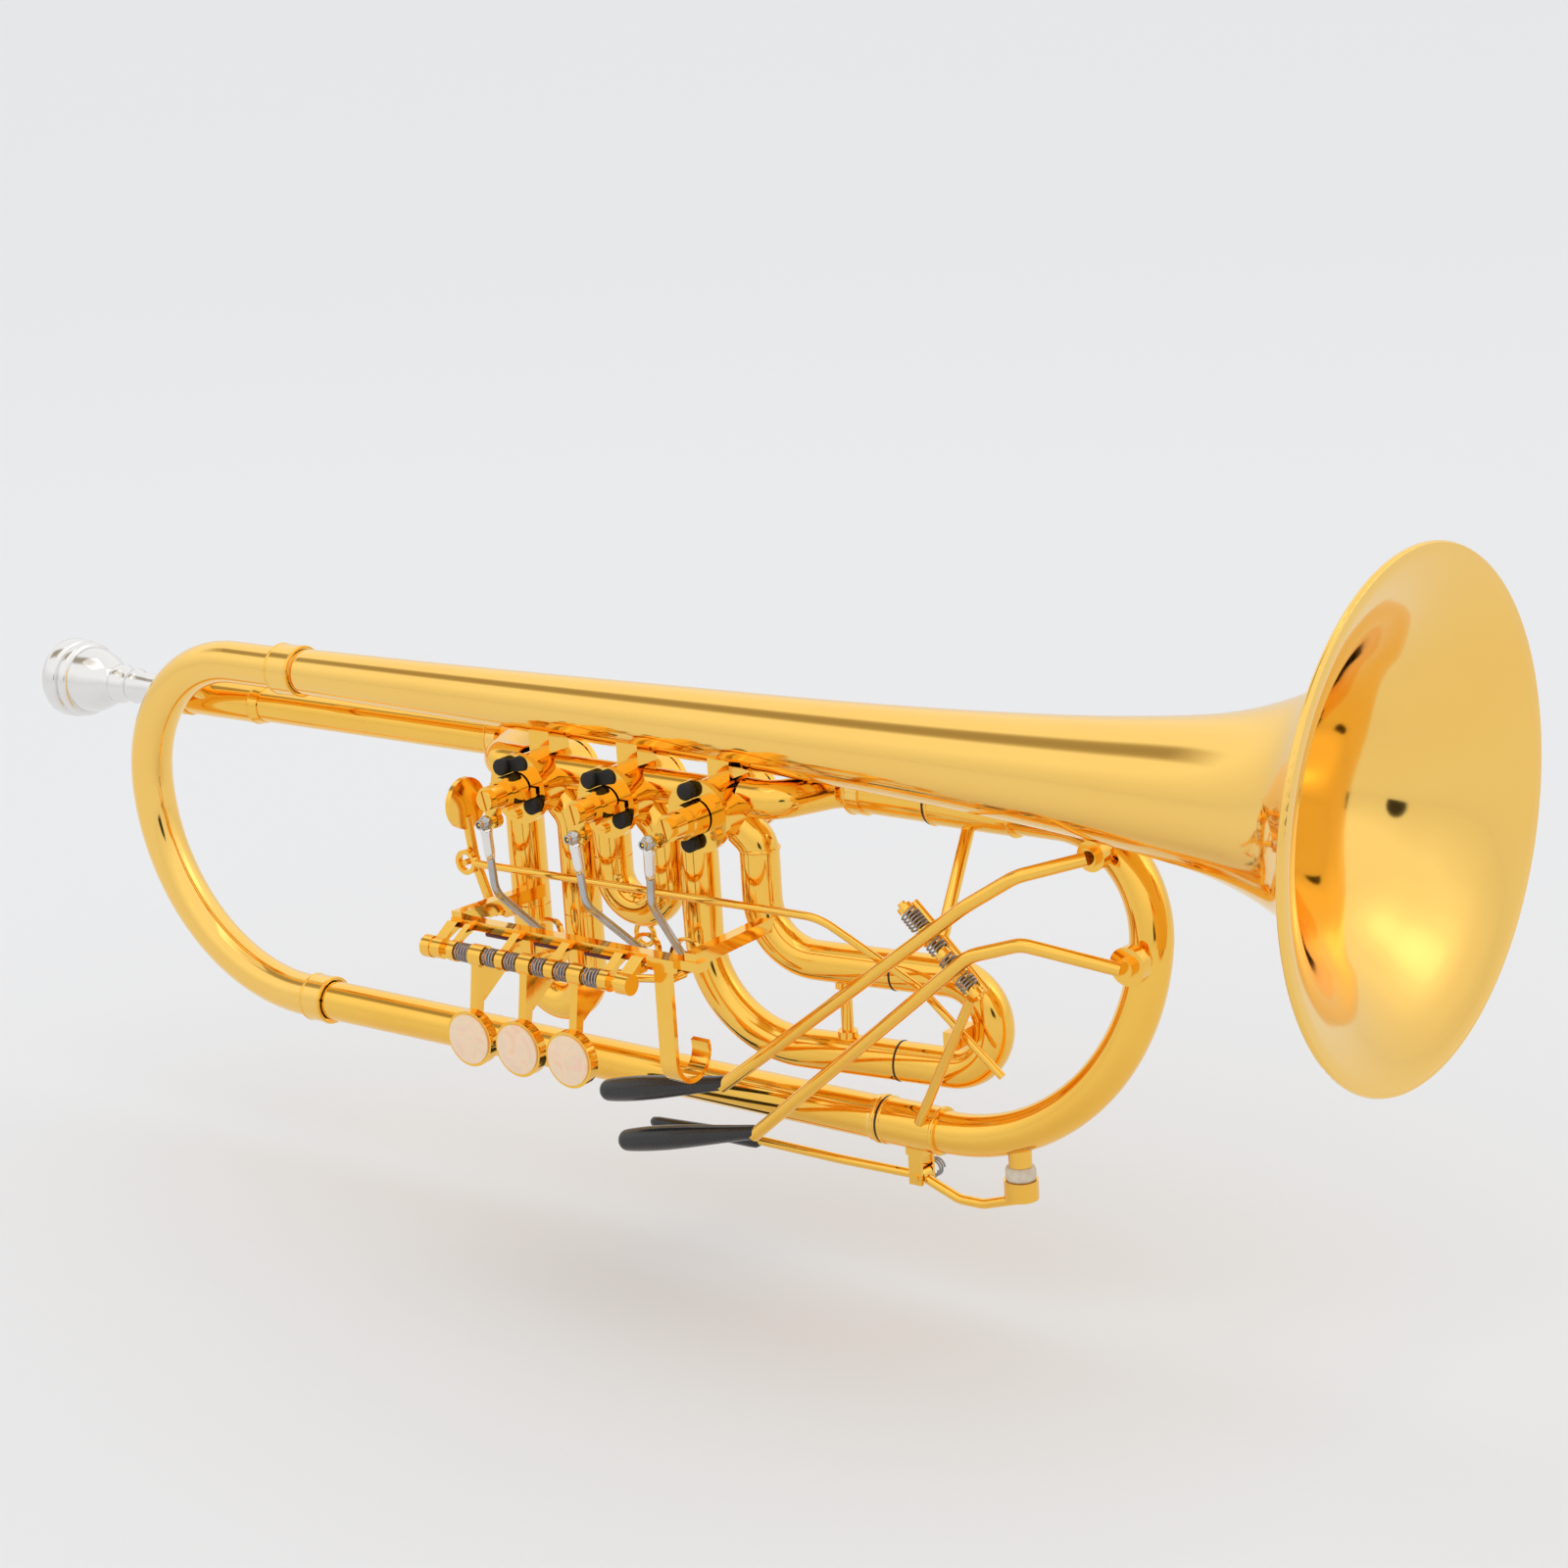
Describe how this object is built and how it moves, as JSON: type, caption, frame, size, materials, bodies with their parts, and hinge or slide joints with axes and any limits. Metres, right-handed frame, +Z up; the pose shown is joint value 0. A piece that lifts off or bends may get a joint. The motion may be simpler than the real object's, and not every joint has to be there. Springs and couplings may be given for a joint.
{
  "type": "rotary valve trumpet",
  "caption": "Rotary valve trumpet in gold lacquer with finger levers, tuning slides, a slide trigger, vent keys, a water key and a silver mouthpiece.",
  "frame": {"origin": "centre of the bell mouth, in the plane of the rim's front face", "axes": "+X out of the bell along its axis, +Z up in the plane of the tubing, -Y towards the finger levers"},
  "size_m": [0.527, 0.1412, 0.2037],
  "materials": {
    "lacquered_brass": "gold lacquered polished brass",
    "silver_plate": "polished silver plate",
    "polished_steel": "polished steel",
    "spring_steel": "dull grey spring wire",
    "pearl": "mother of pearl, glossy",
    "black_bumper": "matt black neoprene",
    "red_felt": "dark red felt",
    "black_rubber": "satin black rubber",
    "pale_cork": "pale cork"
  },
  "bodies": {
    "horn": {"bell_flare": "lacquered_brass", "bell_throat": "lacquered_brass", "bell_stem_front": "lacquered_brass", "bell_stem_rear": "lacquered_brass", "bell_rim_wire": "lacquered_brass", "rear_bow": "lacquered_brass", "main_tubes": "lacquered_brass", "leadpipe": "lacquered_brass", "outlet_bend": "lacquered_brass", "ferrules": "lacquered_brass", "mouthpiece_receiver": "lacquered_brass", "braces": "lacquered_brass", "valve_casings": "lacquered_brass", "valve_plates": "lacquered_brass", "stop_corks": "black_bumper", "plate_screws": "lacquered_brass", "bell_saddles": "lacquered_brass", "valve_knuckles": "lacquered_brass", "valve_slide_sleeves": "lacquered_brass", "third_slide_sleeves": "lacquered_brass", "lever_frame": "lacquered_brass", "stop_felts": "red_felt", "lever_axle": "lacquered_brass", "lever_springs": "spring_steel", "pinky_hook": "lacquered_brass"},
    "mouthpiece_piece": {"mouthpiece": "silver_plate"},
    "valve_rotor_1": {"rotor_1": "polished_steel", "stop_arm_1": "lacquered_brass"},
    "valve_link_1": {"link_1": "polished_steel"},
    "finger_lever_1": {"lever_1": "lacquered_brass", "lever_pearl_1": "pearl"},
    "valve_rotor_2": {"rotor_2": "polished_steel", "stop_arm_2": "lacquered_brass"},
    "valve_link_2": {"link_2": "polished_steel"},
    "finger_lever_2": {"lever_2": "lacquered_brass", "lever_pearl_2": "pearl"},
    "valve_rotor_3": {"rotor_3": "polished_steel", "stop_arm_3": "lacquered_brass"},
    "valve_link_3": {"link_3": "polished_steel"},
    "finger_lever_3": {"lever_3": "lacquered_brass", "lever_pearl_3": "pearl"},
    "first_valve_slide": {"first_slide": "lacquered_brass"},
    "second_valve_slide": {"second_slide": "lacquered_brass"},
    "third_valve_slide": {"third_slide": "lacquered_brass", "trigger_rod": "lacquered_brass"},
    "slide_trigger": {"trigger_lever": "lacquered_brass"},
    "main_slide": {"main_slide_bow": "lacquered_brass", "main_slide_legs": "lacquered_brass", "key_posts": "lacquered_brass", "key_axle": "lacquered_brass", "key_springs": "spring_steel", "key_nipples": "lacquered_brass", "water_key_saddle": "lacquered_brass"},
    "upper_vent_key": {"vent_key_a": "lacquered_brass", "vent_grip_a": "black_rubber"},
    "lower_vent_key": {"vent_key_b": "lacquered_brass", "vent_grip_b": "black_rubber"},
    "drain_key": {"water_key": "lacquered_brass", "water_key_pad": "pale_cork", "water_key_grip": "black_rubber"}
  },
  "joints": [
    {"name": "finger_lever_1_press", "type": "hinge", "parent": "horn", "child": "finger_lever_1", "pos_m": [-0.28, -0.05, -0.0635], "axis": [1, 0, 0], "range_deg": [0, 13.33], "stiffness_Nm_per_rad": 0.1, "springref_deg": -17.19},
    {"name": "rotor_1_turn", "type": "hinge", "parent": "horn", "child": "valve_rotor_1", "pos_m": [-0.288, 0, -0.0213], "axis": [0, -1, 0], "range_deg": [0, 90.05]},
    {"name": "link_1_swing", "type": "hinge", "parent": "valve_rotor_1", "child": "valve_link_1", "pos_m": [-0.28682, -0.036, -0.02739], "axis": [0, 1, 0], "range_deg": [0, 97.38]},
    {"name": "finger_lever_2_press", "type": "hinge", "parent": "horn", "child": "finger_lever_2", "pos_m": [-0.261, -0.05, -0.0635], "axis": [1, 0, 0], "range_deg": [0, 12.49], "stiffness_Nm_per_rad": 0.1, "springref_deg": -17.19},
    {"name": "rotor_2_turn", "type": "hinge", "parent": "horn", "child": "valve_rotor_2", "pos_m": [-0.2535, 0, -0.0213], "axis": [0, -1, 0], "range_deg": [0, 90.05]},
    {"name": "link_2_swing", "type": "hinge", "parent": "valve_rotor_2", "child": "valve_link_2", "pos_m": [-0.25232, -0.036, -0.02739], "axis": [0, 1, 0], "range_deg": [0, 97.5]},
    {"name": "finger_lever_3_press", "type": "hinge", "parent": "horn", "child": "finger_lever_3", "pos_m": [-0.2415, -0.05, -0.0635], "axis": [1, 0, 0], "range_deg": [0, 18], "stiffness_Nm_per_rad": 0.1, "springref_deg": -17.19},
    {"name": "rotor_3_turn", "type": "hinge", "parent": "horn", "child": "valve_rotor_3", "pos_m": [-0.2192, 0, -0.0213], "axis": [0, 1, 0], "range_deg": [0, 90.05]},
    {"name": "link_3_swing", "type": "hinge", "parent": "valve_rotor_3", "child": "valve_link_3", "pos_m": [-0.22395, -0.036, -0.02528], "axis": [0, -1, 0], "range_deg": [0, 88.91]},
    {"name": "mouthpiece_pull", "type": "slide", "parent": "horn", "child": "mouthpiece_piece", "axis": [-1, 0, 0], "range_m": [0, 0.03]},
    {"name": "main_slide_pull", "type": "slide", "parent": "horn", "child": "main_slide", "axis": [1, 0, 0], "range_m": [0, 0.01]},
    {"name": "first_slide_pull", "type": "slide", "parent": "horn", "child": "first_valve_slide", "axis": [0, 0, -1], "range_m": [0, 0.005]},
    {"name": "second_slide_pull", "type": "slide", "parent": "horn", "child": "second_valve_slide", "axis": [0, 0, -1], "range_m": [0, 0.018]},
    {"name": "third_slide_pull", "type": "slide", "parent": "horn", "child": "third_valve_slide", "axis": [0.9914, 0.1305, 0], "range_m": [0, 0.0035]},
    {"name": "trigger_swing", "type": "hinge", "parent": "horn", "child": "slide_trigger", "pos_m": [-0.303, -0.019, -0.0605], "axis": [0, 1, 0], "range_deg": [0, 13.05]},
    {"name": "upper_vent_key_press", "type": "hinge", "parent": "main_slide", "child": "upper_vent_key", "pos_m": [-0.1515, -0.014, -0.0401], "axis": [0.7236, 0, -0.6902], "range_deg": [0, 2.5], "stiffness_Nm_per_rad": 0.05, "springref_deg": -17.19},
    {"name": "lower_vent_key_press", "type": "hinge", "parent": "main_slide", "child": "lower_vent_key", "pos_m": [-0.1515, -0.014, -0.0401], "axis": [0.7236, 0, -0.6902], "range_deg": [0, 2.5], "stiffness_Nm_per_rad": 0.05, "springref_deg": -17.19},
    {"name": "drain_key_press", "type": "hinge", "parent": "main_slide", "child": "drain_key", "pos_m": [-0.16, 0, -0.1265], "axis": [0, 1, 0], "range_deg": [0, 3], "stiffness_Nm_per_rad": 0.05, "springref_deg": -17.19}
  ],
  "couplings": [
    {"joint": "rotor_1_turn", "follows": "finger_lever_1_press", "ratio": 6.7517},
    {"joint": "link_1_swing", "follows": "finger_lever_1_press", "ratio": 7.3016},
    {"joint": "rotor_2_turn", "follows": "finger_lever_2_press", "ratio": 7.2058},
    {"joint": "link_2_swing", "follows": "finger_lever_2_press", "ratio": 7.8022},
    {"joint": "rotor_3_turn", "follows": "finger_lever_3_press", "ratio": 5},
    {"joint": "link_3_swing", "follows": "finger_lever_3_press", "ratio": 4.9367},
    {"joint": "trigger_swing", "follows": "third_slide_pull", "rad_per_m": 64.826}
  ]
}
